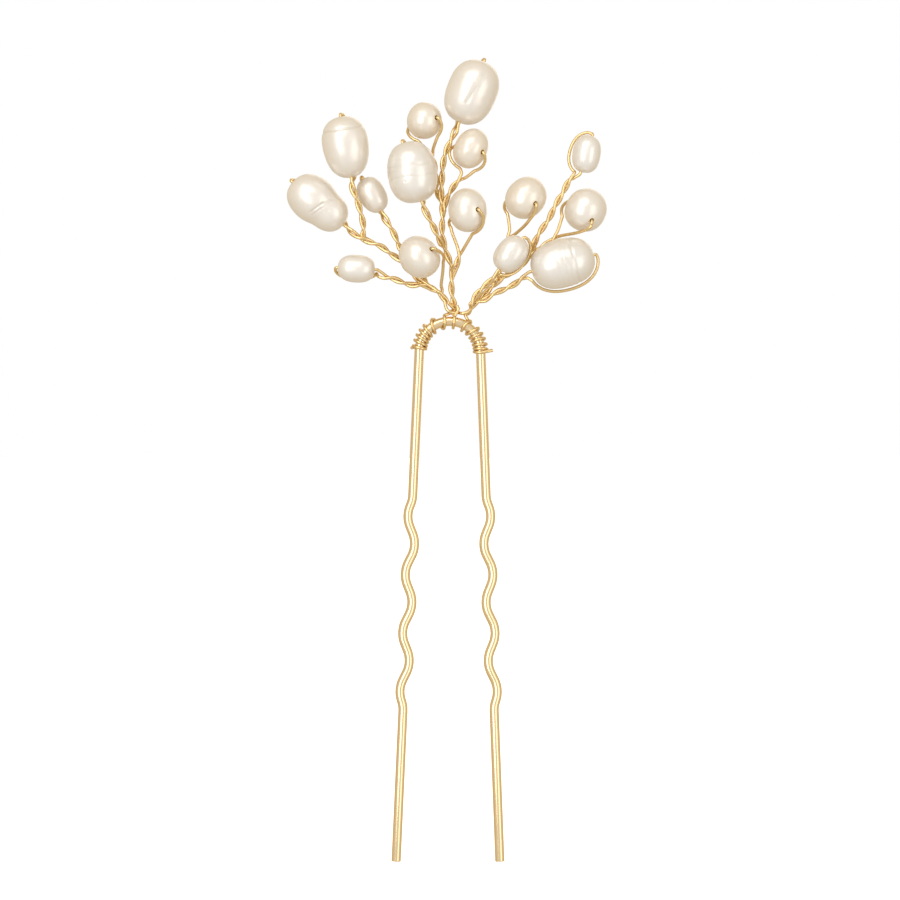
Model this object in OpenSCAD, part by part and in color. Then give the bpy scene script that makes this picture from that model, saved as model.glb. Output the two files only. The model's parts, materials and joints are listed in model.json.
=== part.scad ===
// Decorative hair pin: a two-legged U-pin of thick wire that carries three
// sprigs of fine twisted wire with fifteen freshwater pearls.
// Millimetres. +Z runs up from the legs to the pearls, the wearer's side is +Y,
// the shown side is -Y, and the origin is midway between the legs at the centre
// of the bend, which is where the pin stops against the hair.

/* [Pin] */
// Diameter of the pin wire
pin_d = 1.2; // [1.0:0.1:1.3]
// Radius of the bend, to the middle of the wire
bend_r = 3.84; // [3.7:0.02:4.0]
// Outward lean of the left leg, in degrees
left_lean = 2.6; // [2:0.1:4]
// Outward lean of the right leg, in degrees
right_lean = 2.15; // [2:0.05:4]
// Length of a leg, measured straight down from the origin
leg_drop = 63.7; // [58:0.1:75]

/* [Waves] */
// Depth below the origin where the waves begin
wave_start = 17.9; // [14:0.1:20]
// Outward bulges in each leg
wave_count = 4; // [1:1:5]
// Radius of each curve in a wave
wave_r = 3.43; // [3.3:0.01:3.6]
// Straight stretch between two curves of a wave
wave_flat = 0.95; // [0.5:0.05:1.5]
// Steepest angle of a wave against its leg
wave_turn = 24; // [18:1:26]

/* [Fine wire] */
// Diameter of the fine wire
wire_d = 0.4; // [0.36:0.01:0.42]
// Length of a half turn of the twist
half_turn = 2.0; // [1.8:0.1:2.4]

/* [Pearls] */
// Diameter of the hole drilled through a pearl
hole_d = 0.56; // [0.52:0.02:0.6]
// Gap between a pearl and the strand that passes outside it
strand_gap = 0.12; // [0.1:0.02:0.2]

/* [Hidden] */
wire_r = wire_d / 2;
strand_r = wire_r - 0.005; // to the corners of the wire's six-sided section
wire_sides = 6;
round_fn = 48;
pearl_steps = 14;
end_hook_r = 0.22;      // radius at which the wire turns back over a pearl's end
side_hook_r = 0.3;      // and at which it turns out of a hole in a pearl's side
twist_r = wire_r + 0.015; // from the middle of a twist to a strand's middle
ring_step = 0.5;        // distance between rings along a twist
gold = [0.86, 0.72, 0.45];
nacre = [0.95, 0.92, 0.86];

// One row per pearl, numbered from the tip of its sprig:
// name, centre, length, width, direction of the long axis or of the hole.
// A pearl drilled "along" its length has the axis from its stem to its far end,
// and then the side on which the wire comes back. A pearl drilled "across" has
// the direction of its front hole, and then the places that the back strand and
// the front strand pass between the hole and the top of the stem.
// The last list is the middle of the stem, from the pearl down.
PEARLS = [
  ["left_1", "along", [-16.5, 0.6, 18.6], 8.4, 5.9, [-0.77, 0, 0.64], [0.2, 1, 0.2],
    [[-12.9, 0.5, 15.5], [-11.9, 0.4, 14.7], [-10.9, 0.3, 14.1], [-8.8, 0.3, 13.3],
     [-7.7, 0.3, 12.5], [-6.3, 0.4, 11.5], [-5.3, 0.5, 10.4], [-4.2, 0.4, 9.3],
     [-3.1, 0.2, 8.4], [-1.5, 0, 7.5], [-0.4, -0.1, 6.3], [0.3, -0.2, 5.5]]],
  ["left_2", "along", [-13, -0.5, 25.6], 7.8, 5.85, [-0.17, 0, 0.98], [0.3, 1, 0],
    [[-12.3, -0.5, 21.3], [-12.2, -0.4, 20.5], [-11.6, -0.3, 18.9], [-11.1, -0.2, 17.2],
     [-10.8, 0, 15.6], [-10.9, 0.1, 14.5]]],
  ["left_3", "along", [-9.7, 1.3, 19.7], 4.75, 3.4, [-0.5, 0, 0.87], [-0.3, 1, 0],
    [[-8.3, 1.2, 17.2], [-8, 1.1, 16.5], [-7.2, 1, 15.2], [-6.7, 1, 14.1],
     [-6.2, 1.1, 13], [-5.2, 1.3, 11.8], [-4, 1.2, 10.4], [-3, 0.8, 9]]],
  ["left_4", "along", [-11.7, -0.6, 10.4], 4.7, 3.55, [-1, 0, 0.05], [0, 0.8, -0.6],
    [[-9, -0.5, 9.9], [-8.2, -0.4, 9.4], [-7.2, -0.3, 9.2], [-6.2, -0.2, 8.8],
     [-4.9, -0.1, 8.4], [-3.7, 0, 8.4]]],
  ["left_5", "across", [-3.8, -2.5, 11.8], 5.2, 5.3, [0.58, -0.73, 0.35],
    [[[-4.4, 0.2, 9.6]], [[-0.8, -2.4, 11.6], [-0.9, -1.3, 9.8]]],
    [[-1.6, -0.4, 8.2], [-1.1, -0.3, 7.6]]],
  ["centre_1", "along", [2.7, 0.3, 32.5], 8.3, 6.4, [0.38, 0, 0.93], [-0.2, 1, 0],
    [[1, 0.2, 28.2], [0.5, 0.2, 27.3], [0, 0.2, 26.2], [-0.6, 0.2, 24.8],
     [-0.9, 0.2, 23.2], [-1, 0.2, 21.8], [-1.1, 0.2, 19.4], [-0.9, 0.2, 17.3],
     [-1, 0.2, 15.6], [-0.9, 0.2, 14.2], [-0.5, 0.2, 12.6], [0.1, 0.2, 11],
     [0.3, 0.1, 10], [0.2, 0, 8.9], [0.2, 0.1, 7.7], [0.4, 0.2, 6.4], [0.8, 0.1, 5.4]]],
  ["centre_2", "across", [-3.2, 1.3, 29], 4.5, 4.6, [0.68, -0.72, 0.12],
    [[[-4.9, 1.5, 27.5]], [[-1.1, 0.2, 28.1]]],
    [[-2.6, 1, 25.6], [-2.2, 1, 24.4], [-1.9, 1, 23], [-1.7, 1, 21.6],
     [-1.7, 1, 20.2], [-1.1, 0.8, 19.1]]],
  ["centre_3", "across", [2.6, -0.9, 25.4], 4.5, 5, [0.64, -0.73, -0.23],
    [[[0.2, -0.7, 25]], [[4.2, -1.6, 23.5]]],
    [[2, -0.7, 22.3], [0.7, -0.4, 21], [0.1, -0.1, 20.1], [-0.5, 0.1, 18.9],
     [-0.7, 0.1, 17.7]]],
  ["centre_4", "along", [-4.7, -1.7, 22.4], 7.75, 6.3, [-0.31, 0, 0.95], [0.2, 1, 0],
    [[-3.4, -1.6, 18.1], [-3, -1.4, 17.4], [-2.2, -1.1, 15.9], [-1.6, -0.8, 14.6],
     [-1.1, -0.5, 13.5]]],
  ["centre_5", "across", [2.2, -1, 17.7], 5, 5.4, [0.5, -0.86, 0],
    [[[-0.1, -0.6, 15.8]], [[4, -2.4, 16.6], [2.9, -1.4, 14.9]]],
    [[1.4, -0.5, 13.3], [1.2, -0.4, 12.2], [0.8, -0.3, 10.8]]],
  ["right_1", "across", [17, 1.2, 17.8], 5.3, 5.4, [0.27, -0.8, -0.53],
    [[[14.3, 1.4, 17.8]], [[17.6, -1.4, 15.5], [16.1, -0.4, 14.9]]],
    [[14, 1, 15.1], [13.4, 1.1, 14.6], [12.5, 1.3, 13.8], [11.5, 1.4, 13.2],
     [10.7, 1.4, 12.5], [9.9, 1.4, 11.8], [9, 1.3, 11], [7.5, 1.1, 9.9],
     [6.3, 0.8, 9.1], [5.4, 0.5, 8.3], [4.4, 0.4, 7.3], [3.1, 0.2, 6.1],
     [2.5, 0.1, 5.3]]],
  ["right_2", "along", [17.1, 1.2, 24.8], 4.75, 3.6, [0.31, 0, 0.95], [-1, 0.1, 0.3],
    [[16, 1.2, 22.2], [15, 1.2, 21.6], [14.5, 1.2, 20.7], [14.1, 1.2, 19.9],
     [13.5, 1.2, 18.9], [13, 1.2, 18], [12.4, 1.2, 16.7], [11.7, 1.2, 15.7],
     [11, 1.2, 14.6], [10.5, 1.2, 13.5]]],
  ["right_3", "across", [9.5, 0.8, 19.3], 5.1, 5.4, [0.46, -0.83, -0.31],
    [[[7.1, 1, 17.9]], [[10.6, -1.2, 17.5], [9.6, -0.2, 16]]],
    [[8, 0.9, 15.2], [7.3, 1, 14.3], [6.9, 1.1, 13], [6.5, 1.1, 11.4],
     [6.2, 1.1, 10]]],
  ["right_4", "along", [7.6, -1.5, 12.2], 5, 3.9, [0.62, 0, 0.79], [1, 0.6, -0.6],
    [[5.8, -1.3, 9.8], [5.2, -1, 9], [4.2, -0.8, 8.1], [3.2, -0.6, 7], [2.6, -0.5, 5.9]]],
  ["right_5", "along", [14.1, -0.6, 11.1], 8.2, 6.2, [0.97, 0, 0.26], [0, 0.1, -1],
    [[9.6, -0.5, 9.7], [9, -0.4, 9.2], [8.1, -0.3, 8.5], [7, -0.2, 7.9],
     [5.7, -0.1, 7.4], [4.3, -0.1, 6.5]]],
];

// The loose ends of a trunk at the bend, one list for each strand
TAILS = [
  ["left", [[-0.5, -0.5, 5.4], [0, -0.6, 4.95], [0.6, -0.4, 4.9], [1, 0, 5.1]],
           [[0.5, 0.1, 5.4], [0.8, 0.4, 5.1], [0.5, 0.6, 4.8]]],
  ["centre", [[0.9, -0.3, 5.7], [1.1, -0.4, 5.3]], [[0.6, 0.4, 5.5], [0.2, 0.6, 5.1]]],
  ["right", [[2.1, -0.4, 4.9], [1.5, -0.4, 4.8], [1.1, 0, 4.9]],
            [[2.5, 0.3, 4.9], [2.1, 0.6, 4.7], [1.7, 0.6, 4.8]]],
];

// Angles round the bend at which the wraps cross the front of the pin, in
// degrees up from the right leg
RIGHT_WRAP = [-1.4, 6.3, 14.4, 24, 32.3, 42.6, 61.4];
CROWN_WRAP = [82.5];
LEFT_WRAP = [99, 124.8, 137.2, 145.6, 154.7, 163.2, 172.6];

// ---- Vectors and curves ----

function unit(v) = v / norm(v);
function flip(list) = [for (i = [len(list) - 1:-1:0]) list[i]];
function across(v, axis) = unit(v - (v * axis) * axis);

// A smooth curve through the points p, with n steps between two of them
function spline(p, n) = [for (i = [0:len(p) - 2]) for (k = [0:n - 1]) bend_point(p, i, k / n),
                         p[len(p) - 1]];
function bend_point(p, i, t) =
  let (a = p[max(i - 1, 0)], b = p[i], c = p[i + 1], d = p[min(i + 2, len(p) - 1)])
  b + t * (c - a) / 2 + t * t * (2 * a - 5 * b + 4 * c - d) / 2
    + t * t * t * (3 * b - a - 3 * c + d) / 2;

// Corners cut off n times, as a stiff wire rounds them
function rounded(p, n) = n == 0 ? p : rounded(
  [p[0], for (i = [0:len(p) - 2]) for (t = [0.25, 0.75]) p[i] * (1 - t) + p[i + 1] * t,
   p[len(p) - 1]], n - 1);

function distances(p) = [for (i = 0, s = 0; i < len(p);
  s = s + (i + 1 < len(p) ? norm(p[i + 1] - p[i]) : 0), i = i + 1) s];

// A curve as three tables of x, y and z against the distance along it
function route(p) = let (q = spline(p, 6), s = distances(q))
  [for (k = [0:2]) [for (i = [0:len(q) - 1]) [s[i], q[i][k]]]];
function route_end(r) = r[0][len(r[0]) - 1][0];
function place(r, s) = [for (table = r) lookup(s, table)];
function heading(r, s) = unit(place(r, s + 0.1) - place(r, s - 0.1));

// ---- Round wire along a list of points ----

function directions(p) = [for (i = [0:len(p) - 1])
  unit(p[min(i + 1, len(p) - 1)] - p[max(i - 1, 0)])];
function normals(t) = [for (i = 0, n = across(abs(t[0].y) < 0.8 ? [0, 1, 0] : [1, 0, 0], t[0]);
  i < len(t); n = i + 1 < len(t) ? across(n, t[i + 1]) : n, i = i + 1) n];

module wire(p) {
  m = wire_sides;
  t = directions(p);
  n = normals(t);
  last = (len(p) - 1) * m;
  polyhedron(
    points = [for (i = [0:len(p) - 1]) for (k = [0:m - 1])
      p[i] + strand_r * (cos(360 * k / m) * n[i] + sin(360 * k / m) * cross(t[i], n[i]))],
    faces = concat([[for (k = [0:m - 1]) k]], [[for (k = [m - 1:-1:0]) last + k]],
      [for (i = [0:len(p) - 2]) for (k = [0:m - 1]) for (half = [0, 1])
        let (a = i * m + k, b = i * m + (k + 1) % m)
        half == 0 ? [a, a + m, b + m] : [a, b + m, b]]));
}

// ---- Pin ----

pin_r = pin_d / 2;
short_flat = 0.2;
wave_height = wave_r * (1 - cos(wave_turn)) + wave_flat * sin(wave_turn) / 2;
entry_turn = acos(1 - (wave_height - short_flat * sin(wave_turn)) / (2 * wave_r));
wave_length = 4 * wave_r * sin(entry_turn) + 2 * short_flat * cos(entry_turn)
  + (2 * wave_count - 2) * (2 * wave_r * sin(wave_turn) + wave_flat * cos(wave_turn));

// The bends of one leg in order, outward ones positive. A straight stretch lies
// before each bend, long in the waves and short beside the first and the last.
LEG_BENDS = concat([entry_turn, -entry_turn - wave_turn],
  [for (i = [1:2 * wave_count - 3]) (i % 2 == 1 ? 2 : -2) * wave_turn],
  [-wave_turn - entry_turn, entry_turn]);

function flat_before(i) = i == 0 ? 0 : i == 1 || i == len(LEG_BENDS) - 1 ? short_flat : wave_flat;

// A curve of wire, very slightly thinner than a straight stretch and let into
// the stretch at each end, in the plane of X and Z from angle start
module curved_wire(radius, start, turn) {
  let_in = 3 / radius;
  rotate([90, 0, 0]) rotate([0, 0, start - let_in])
    rotate_extrude(angle = turn + 2 * let_in, $fn = round_fn)
      translate([radius, 0]) circle(r = pin_r - 0.002, $fn = round_fn);
}

// The rest of a leg from bend i on, running up +Z with +X outward
module leg_from(i, tail) {
  if (i == len(LEG_BENDS)) {
    cylinder(h = tail, r = pin_r, $fn = round_fn);
  } else {
    turn = abs(LEG_BENDS[i]);
    side = sign(LEG_BENDS[i]);
    flat = flat_before(i);
    if (flat > 0) cylinder(h = flat, r = pin_r, $fn = round_fn);
    translate([side * wave_r, 0, flat]) curved_wire(wave_r, side > 0 ? 180 - turn : 0, turn);
    translate([side * wave_r * (1 - cos(turn)), 0, flat + wave_r * sin(turn)])
      rotate([0, side * turn, 0]) leg_from(i + 1, tail);
  }
}

// A right leg that leans outward, from the end of the bend
module leg(lean) {
  straight = (wave_start + bend_r * sin(lean)) / cos(lean);
  tail = (leg_drop - wave_start) / cos(lean) - wave_length;
  translate([bend_r * cos(lean), 0, bend_r * sin(lean)]) rotate([180, -lean, 0]) {
    cylinder(h = straight, r = pin_r, $fn = round_fn);
    translate([0, 0, straight]) leg_from(0, tail);
  }
}

module pin() {
  color(gold) {
    curved_wire(bend_r, right_lean, 180 - left_lean - right_lean);
    leg(right_lean);
    mirror([1, 0, 0]) leg(left_lean);
  }
}

// ---- Wraps of fine wire round the bend ----

wrap_r = pin_r + wire_r + 0.02;

// A point on the wraps: angle round the bend, and turns from the front crossing
function wrap_point(angle, turns) = let (a = 90 + 360 * turns, r = bend_r + wrap_r * cos(a))
  [r * cos(angle), -wrap_r * sin(a), r * sin(angle)];
function wrap_run(fronts, from, to) = let (n = ceil((to - from) * 10))
  [for (i = [0:n]) let (u = from + (to - from) * i / n)
    wrap_point(lookup(u, [for (k = [0:len(fronts) - 1]) [k, fronts[k]]]), u)];

module wrap_right() {
  color(gold) wire(concat([[5.3, -0.5, 0.2], [4.8, -0.7, 0.1]],
    wrap_run(RIGHT_WRAP, 0, 6.7), [[1.9, 0.3, 4.6], [2.3, 0.2, 5]]));
}

module wrap_crown() {
  color(gold) wire(concat([[0.9, -0.2, 5.8], [1, -0.4, 5.2]],
    wrap_run(CROWN_WRAP, -0.15, 0.7), [[0.2, 0.3, 4.9], [0.1, 0.1, 5.2]]));
}

module wrap_left() {
  color(gold) wire(concat([[0.7, 0.2, 5.1], [0.1, 0, 4.9]],
    wrap_run(LEFT_WRAP, -0.2, 6.75), [[-4.8, -0.3, 0.5]]));
}

// ---- Pearls ----

is_along = function (p) p[1] == "along";
hole_r = hole_d / 2;
skin_power = 2.25;      // 2 is an ellipse, more is squarer
skin_gap = wire_r + strand_gap;

// A pearl's outline at angle t from its axis, grown by g: along and away from it
function outline(p, t, g) = let (e = 2 / skin_power)
  [(p[3] / 2 + g) * sign(cos(t)) * pow(abs(cos(t)), e), (p[4] / 2 + g) * pow(abs(sin(t)), e)];

// How far out the vector v from a pearl's centre is: 1 is on the grown skin
function skin_ratio(p, v) = let (axis = unit(p[5]), u = abs(v * axis),
    w = norm(v - (v * axis) * axis))
  pow(pow(u / (p[3] / 2 + skin_gap), skin_power) + pow(w / (p[4] / 2 + skin_gap), skin_power),
      1 / skin_power);
function outside(p, q) = let (v = q - p[2]) p[2] + v / min(1, skin_ratio(p, v));

module pearl(p) {
  mouth = asin(pow(hole_r / (p[4] / 2), skin_power / 2));
  axis = unit(p[5]);
  color(nacre) translate(p[2]) rotate([0, acos(axis.z), atan2(axis.y, axis.x)])
    rotate_extrude($fn = round_fn) polygon([for (i = [0:pearl_steps])
      let (q = outline(p, mouth + (180 - 2 * mouth) * i / pearl_steps, 0)) [q[1], q[0]]]);
}

// ---- Stems: two twisted strands, through the pearl's hole and back ----

eye_width = 0.3;        // how far the strands stand apart under the pearl
eye_length = 1.4;

function strand_point(r, s, phase) =
  let (h = heading(r, s), right = unit(cross(h, [0, 1, 0])), back = cross(right, h),
       a = phase + 180 * s / half_turn,
       w = twist_r + eye_width * pow(max(0, 1 - s / eye_length), 2))
  place(r, s) + w * (cos(a) * right + sin(a) * back);
function strand(r, phase) = let (n = ceil(route_end(r) / ring_step))
  [for (i = [0:n]) strand_point(r, route_end(r) * i / n, phase)];

// The phase that puts the return strand on the side where it leaves the pearl
function return_phase(p, r) = is_along(p)
  ? let (h = heading(r, 0), right = unit(cross(h, [0, 1, 0])), back = cross(right, h))
    atan2(p[6] * back, p[6] * right)
  : -30;

// Out of the hole in direction end, and over towards side
function hook_r(p) = is_along(p) ? end_hook_r : side_hook_r;
function hook(p, end, side) = [for (a = [0, 45, 90])
  p[2] + end * (p[3] / 2 + 0.03 + hook_r(p) * sin(a))
    + across(side, end) * hook_r(p) * (1 - cos(a))];
function in_hole(p, end) = p[2] + end * (p[3] / 2 - 0.4);

// The strand that enters the hole: from the top of the stem to inside the hole
function entry(p, top) = let (axis = unit(p[5])) is_along(p)
  ? [p[2] - axis * (p[3] / 2 + 0.15), in_hole(p, -axis)]
  : let (places = p[6][0], side = places[len(places) - 1] - p[2],
         turned = hook(p, -axis, side))
    concat([for (q = rounded(concat([top], places,
        [p[2] + (p[4] / 2 + 1) * unit(unit(side) - axis)], [turned[2]]), 2)) outside(p, q)],
      [turned[1], turned[0], in_hole(p, -axis)]);

// The strand that comes back: from inside the far hole to the top of the stem
function exit(p, top) = let (axis = unit(p[5])) is_along(p)
  ? let (side = across(p[6], axis),
         start = asin(pow((end_hook_r + 0.35) / (p[4] / 2 + skin_gap), skin_power / 2)))
    concat([in_hole(p, axis)], hook(p, axis, side),
      [for (i = [0:10]) let (q = outline(p, start + (163 - start) * i / 10, skin_gap))
        p[2] + q[0] * axis + q[1] * side])
  : let (turned = hook(p, axis, p[6][1][0] - p[2]))
    concat([in_hole(p, axis), turned[0], turned[1]],
      [for (q = rounded(concat([turned[2]], p[6][1], [top]), 2)) outside(p, q)]);

function trunk_of(p) = [for (q = PEARLS) if (q[0][0] == p[0][0]) q][0];
function tail_of(p, k) = [for (t = TAILS) if (t[0][0] == p[0][0]) t[k + 1]][0];

// The distance along the trunk's stem that is nearest to the point q
function nearest(r, q) = let (steps = [for (s = [0:0.2:route_end(r)]) s],
    gaps = [for (s = steps) norm(place(r, s) - q)], least = min(gaps))
  [for (i = [0:len(steps) - 1]) if (gaps[i] == least) steps[i]][0];

// Where a strand goes below its stem: a trunk ends in its loose end, and a
// branch runs into a strand of its trunk
function ending(p, k) = let (trunk = trunk_of(p)) trunk == p
  ? rounded(tail_of(p, k), 1)
  : let (r = route(trunk[7]), stem = p[7], s = nearest(r, stem[len(stem) - 1]))
    [strand_point(r, min(route_end(r) - 0.2, s + (k == 0 ? 1.1 : 0.5)),
                  return_phase(trunk, r) + 180 * k)];

module stem(p) {
  r = route(p[7]);
  phase = return_phase(p, r);
  going = strand(r, phase + 180);
  coming = strand(r, phase);
  axis = unit(p[5]);
  shaft = p[3] + 0.06;
  color(gold) {
    wire(concat(flip(concat(going, ending(p, 0))), entry(p, going[0])));
    wire(concat(exit(p, coming[0]), coming, ending(p, 1)));
    translate(p[2]) rotate([0, acos(axis.z), atan2(axis.y, axis.x)])
      cylinder(h = shaft, r = wire_r, center = true, $fn = round_fn);
  }
}

pin();
wrap_left();
wrap_crown();
wrap_right();
for (p = PEARLS) pearl(p);
for (p = PEARLS) stem(p);
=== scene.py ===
"""Decorative hair pin: a U-pin of thick gold wire with three sprigs of twisted
fine wire that carry fifteen freshwater pearls. Shapes are worked out in
millimetres and scaled to metres as each piece is finished."""

import json
import math

import bmesh
import bpy
from mathutils import Matrix, Vector, noise


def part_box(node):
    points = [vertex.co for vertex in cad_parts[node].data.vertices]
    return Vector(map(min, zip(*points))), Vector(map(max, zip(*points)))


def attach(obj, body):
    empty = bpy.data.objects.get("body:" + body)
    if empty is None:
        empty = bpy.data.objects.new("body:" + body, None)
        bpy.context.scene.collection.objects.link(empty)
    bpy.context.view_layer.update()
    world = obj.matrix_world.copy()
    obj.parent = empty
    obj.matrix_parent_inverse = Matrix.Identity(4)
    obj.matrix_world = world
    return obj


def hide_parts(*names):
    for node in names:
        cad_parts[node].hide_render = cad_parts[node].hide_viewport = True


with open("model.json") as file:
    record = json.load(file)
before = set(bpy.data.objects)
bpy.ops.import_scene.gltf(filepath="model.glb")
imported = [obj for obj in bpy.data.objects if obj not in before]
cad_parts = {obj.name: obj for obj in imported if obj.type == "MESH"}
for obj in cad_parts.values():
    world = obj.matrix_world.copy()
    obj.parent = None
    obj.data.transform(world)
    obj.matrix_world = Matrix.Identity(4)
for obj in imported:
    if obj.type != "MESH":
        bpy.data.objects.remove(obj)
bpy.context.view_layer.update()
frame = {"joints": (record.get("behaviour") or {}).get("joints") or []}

bl_info = {
    "name": "Decorative hair pin",
    "version": (1, 0, 0),
    "blender": (4, 5, 0),
    "location": "3D View > Sidebar > Hair pin",
    "description": "Builds a gold wire hair pin with sprigs of freshwater pearls",
    "category": "Add Mesh",
}

MM = 0.001
VIEWER = Vector((0, -1, 0))  # the shown side of the pin
JOINTS = {joint["name"]: joint for joint in frame["joints"]}
pin_low, pin_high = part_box("pin")


# ---- Settings ----


class PinSettings(bpy.types.PropertyGroup):
    """Sizes of the thick wire and how it is bent"""

    diameter: bpy.props.FloatProperty(
        name="Wire diameter",
        description="Thickness of the pin wire",
        default=pin_high.y - pin_low.y,
        unit="LENGTH",
    )
    bend_radius: bpy.props.FloatProperty(
        name="Bend radius",
        description="Radius of the bend, to the middle of the wire",
        default=3.84 * MM,
        unit="LENGTH",
    )
    left_lean: bpy.props.FloatProperty(
        name="Left lean",
        description="Outward lean of the left leg",
        default=math.radians(2.6),
        unit="ROTATION",
    )
    right_lean: bpy.props.FloatProperty(
        name="Right lean",
        description="Outward lean of the right leg",
        default=math.radians(2.15),
        unit="ROTATION",
    )
    leg_drop: bpy.props.FloatProperty(
        name="Leg drop",
        description="Length of a leg, measured down from the centre of the bend",
        default=63.7 * MM,
        unit="LENGTH",
    )
    wave_start: bpy.props.FloatProperty(
        name="Wave start",
        description="Depth at which the waves begin",
        default=17.9 * MM,
        unit="LENGTH",
    )
    wave_radius: bpy.props.FloatProperty(
        name="Wave radius",
        description="Radius of each curve in a wave",
        default=3.43 * MM,
        unit="LENGTH",
    )
    wave_flat: bpy.props.FloatProperty(
        name="Wave flat",
        description="Straight stretch between two curves of a wave",
        default=0.95 * MM,
        unit="LENGTH",
    )
    wave_turn: bpy.props.FloatProperty(
        name="Wave turn",
        description="Steepest angle of a wave against its leg",
        default=math.radians(24),
        unit="ROTATION",
    )
    wave_count: bpy.props.IntProperty(
        name="Waves", description="Outward bulges in each leg", default=4, min=1
    )


class WireSettings(bpy.types.PropertyGroup):
    """Sizes of the fine wire and its twist"""

    diameter: bpy.props.FloatProperty(
        name="Wire diameter",
        description="Thickness of the fine wire",
        default=0.4 * MM,
        unit="LENGTH",
    )
    half_turn: bpy.props.FloatProperty(
        name="Half turn",
        description="Length of a half turn of the twist",
        default=2.0 * MM,
        unit="LENGTH",
    )
    thick_gold: bpy.props.StringProperty(
        name="Thick gold", description="Plating of the pin, as sRGB hex", default="#F2D9AD"
    )
    fine_gold: bpy.props.StringProperty(
        name="Fine gold", description="Plating of the fine wire, as sRGB hex", default="#E9CC94"
    )


class PearlSettings(bpy.types.PropertyGroup):
    """Sizes and colours of the pearls"""

    hole: bpy.props.FloatProperty(
        name="Hole", description="Diameter of the drilled hole", default=0.56 * MM, unit="LENGTH"
    )
    mouth: bpy.props.FloatProperty(
        name="Mouth",
        description="Diameter of the hole where its edge is worn",
        default=0.6 * MM,
        unit="LENGTH",
    )
    cream: bpy.props.StringProperty(
        name="Cream", description="Warm body colour of the nacre, as sRGB hex", default="#EFE3D1"
    )
    white: bpy.props.StringProperty(
        name="White", description="Cool body colour of the nacre, as sRGB hex", default="#ECE8E2"
    )


class StageSettings(bpy.types.PropertyGroup):
    """Camera and light"""

    distance: bpy.props.FloatProperty(
        name="Distance", description="From the camera to the pin", default=0.8, unit="LENGTH"
    )
    field: bpy.props.FloatProperty(
        name="Field", description="Height of what the camera sees at the pin", default=0.1125,
        unit="LENGTH",
    )
    height: bpy.props.FloatProperty(
        name="Height", description="Height at which the camera looks", default=-12.25 * MM,
        unit="LENGTH",
    )


# ---- The pearls and their stems, in millimetres ----

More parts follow.
